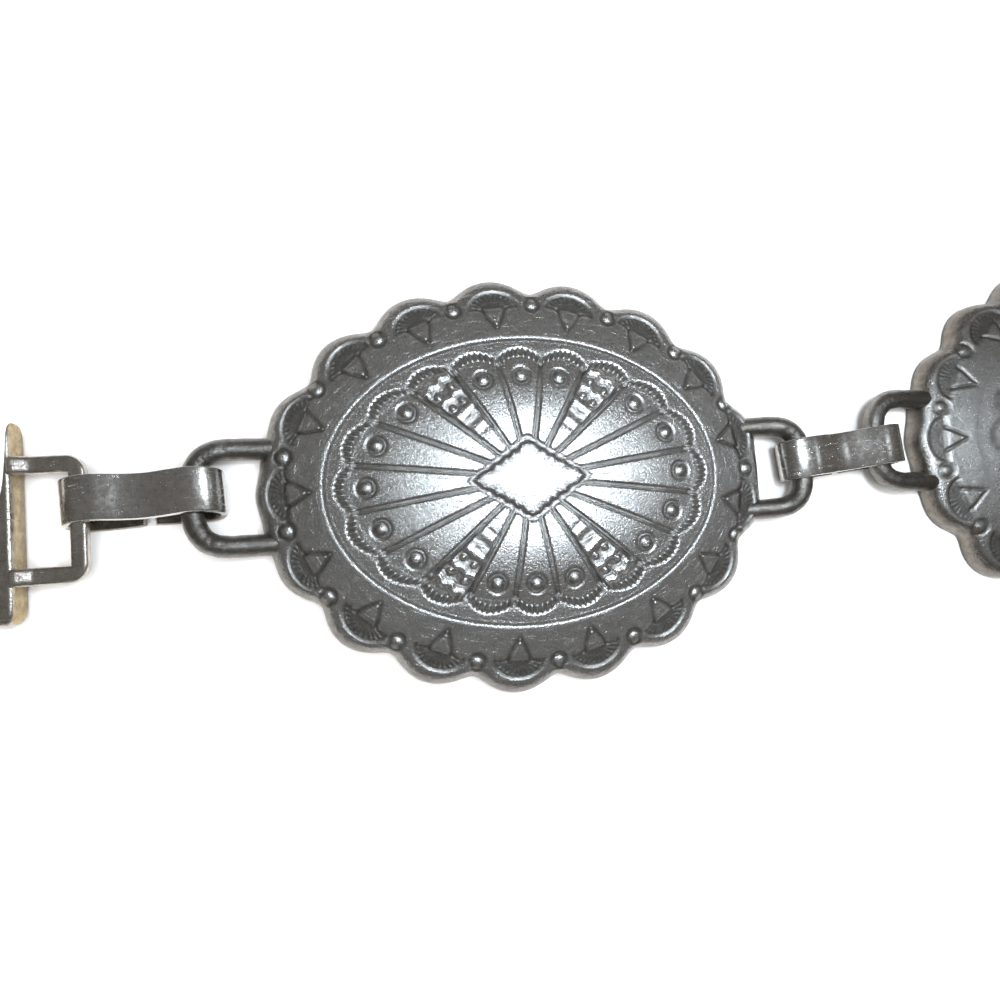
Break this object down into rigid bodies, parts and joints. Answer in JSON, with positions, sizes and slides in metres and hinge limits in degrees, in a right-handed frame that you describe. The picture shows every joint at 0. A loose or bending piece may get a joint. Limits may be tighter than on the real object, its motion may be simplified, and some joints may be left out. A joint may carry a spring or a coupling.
{
  "type": "concho chain belt",
  "caption": "Belt of oval cast metal conchos with scalloped edges, joined end to end by strip links, with a plain hook plate at one end; lies face up.",
  "frame": {"origin": "middle of the belt's length and width, on the surface that it lies on", "axes": "+X along the belt from the hook to the last concho, +Y towards the upper edge as worn, +Z out of the conchos' fronts"},
  "size_m": [0.8548, 0.0438, 0.0061],
  "materials": {
    "cast_metal": "polished cast metal with darkened recesses",
    "strip_metal": "polished strip with fine scratches",
    "plate_metal": "polished, worn warm at the edges"
  },
  "bodies": {
    "root": {"hook_plate": "plate_metal", "concho_01": "cast_metal", "concho_02": "cast_metal", "concho_03": "cast_metal", "concho_04": "cast_metal", "concho_05": "cast_metal", "concho_06": "cast_metal", "concho_07": "cast_metal", "concho_08": "cast_metal", "concho_09": "cast_metal", "concho_10": "cast_metal", "concho_11": "cast_metal", "concho_12": "cast_metal", "link_01": "strip_metal", "link_02": "strip_metal", "link_03": "strip_metal", "link_04": "strip_metal", "link_05": "strip_metal", "link_06": "strip_metal", "link_07": "strip_metal", "link_08": "strip_metal", "link_09": "strip_metal", "link_10": "strip_metal", "link_11": "strip_metal", "link_12": "strip_metal"}
  },
  "joints": []
}
